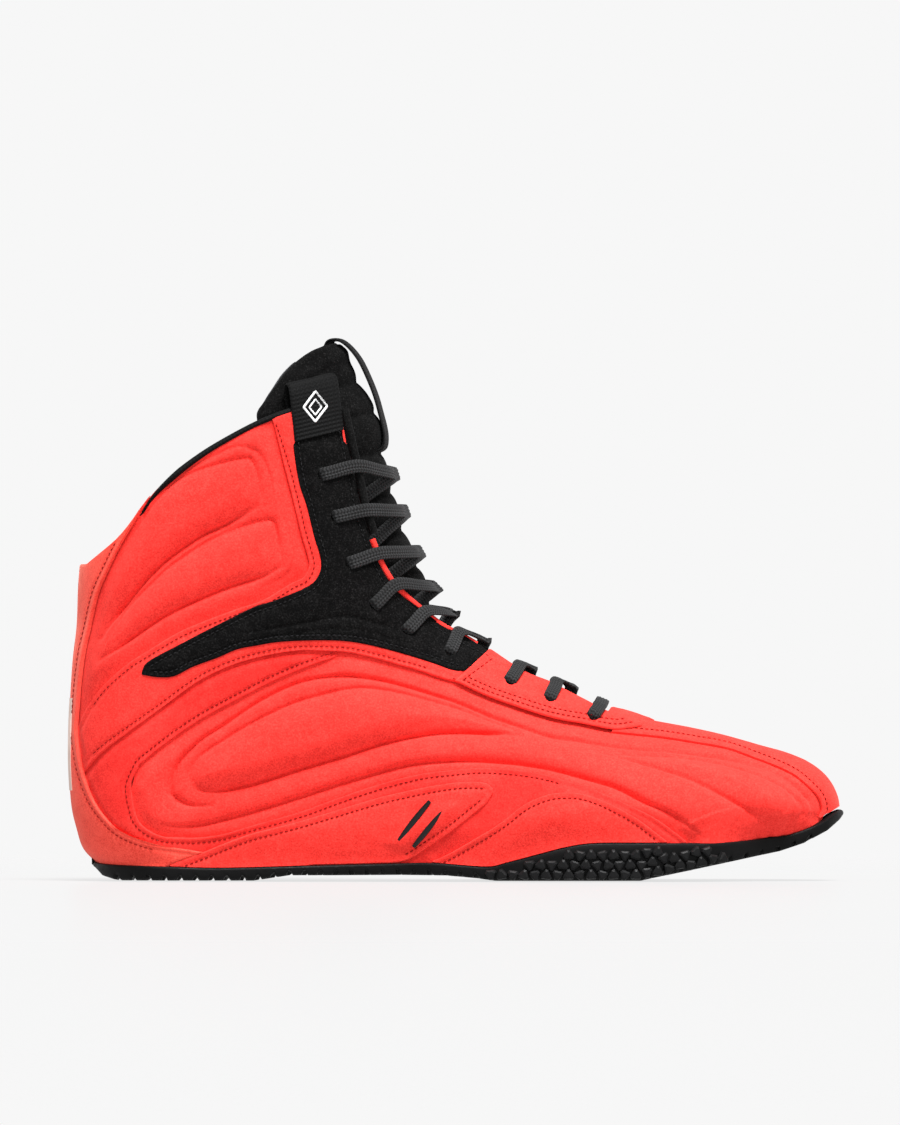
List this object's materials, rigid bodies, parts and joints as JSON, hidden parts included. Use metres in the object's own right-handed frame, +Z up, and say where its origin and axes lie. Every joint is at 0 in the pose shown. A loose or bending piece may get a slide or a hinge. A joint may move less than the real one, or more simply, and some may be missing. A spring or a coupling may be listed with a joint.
{
  "type": "lace-up boxing boot",
  "caption": "High-top lace-up boxing boot for a right foot: padded quilted suede upper, webbing pull tabs, padded tongue and thin treaded rubber sole.",
  "frame": {"origin": "centre of the bounding box in plan, on the ground under the sole", "axes": "+X to the toe, -Y to the outer (lateral) side, +Z up"},
  "size_m": [0.2942, 0.0974, 0.2051],
  "materials": {
    "red_suede": "matt suede nap",
    "dark_red_suede": "matt suede nap, darker",
    "black_suede": "matt suede nap",
    "black_lining_mesh": "knitted lining",
    "black_neoprene": "padded, soft matt",
    "black_rubber": "matt moulded rubber",
    "fibre_board": "pressed fibre board",
    "footbed_foam": "foam with cloth cover",
    "black_webbing": "woven tape",
    "black_lace": "flat woven lace",
    "clear_black_aglet": "smooth film",
    "grey_print": "flat print"
  },
  "bodies": {
    "boot": {"outsole": "black_rubber", "insole_board": "fibre_board", "footbed": "footbed_foam", "vamp_lining": "black_lining_mesh", "lower_eyestay": "red_suede", "toe_stripe": "red_suede", "heel_panel": "red_suede", "heel_label": "grey_print", "collar_binding": "black_webbing", "tab_mark": "grey_print", "side_mark": "grey_print", "lace": "black_lace", "aglet_first": "clear_black_aglet", "aglet_second": "clear_black_aglet", "quarter_lining_lateral": "black_lining_mesh", "quilted_panel_lateral": "red_suede", "side_band_lateral": "dark_red_suede", "ankle_pad_lateral": "red_suede", "ankle_band_lateral": "red_suede", "ankle_overlay_lateral": "black_suede", "arch_patch_lateral": "red_suede", "forefoot_patch_lateral": "red_suede", "eyestay_piping_lateral": "black_webbing", "facing_strip_lateral": "red_suede", "pull_tab_lateral": "black_webbing", "quarter_lining_medial": "black_lining_mesh", "quilted_panel_medial": "red_suede", "side_band_medial": "dark_red_suede", "ankle_pad_medial": "red_suede", "ankle_band_medial": "red_suede", "ankle_overlay_medial": "black_suede", "arch_patch_medial": "red_suede", "forefoot_patch_medial": "red_suede", "eyestay_piping_medial": "black_webbing", "facing_strip_medial": "red_suede", "pull_tab_medial": "black_webbing"},
    "tongue_body": {"tongue": "black_neoprene", "tongue_lining": "black_lining_mesh", "tongue_strap": "black_webbing"}
  },
  "joints": [
    {"name": "tongue_hinge", "type": "hinge", "parent": "boot", "child": "tongue_body", "pos_m": [0.06, 0, 0.058], "axis": [0, -1, 0], "range_deg": [0, 8], "stiffness_Nm_per_rad": 0.25, "springref_deg": -22.92}
  ]
}
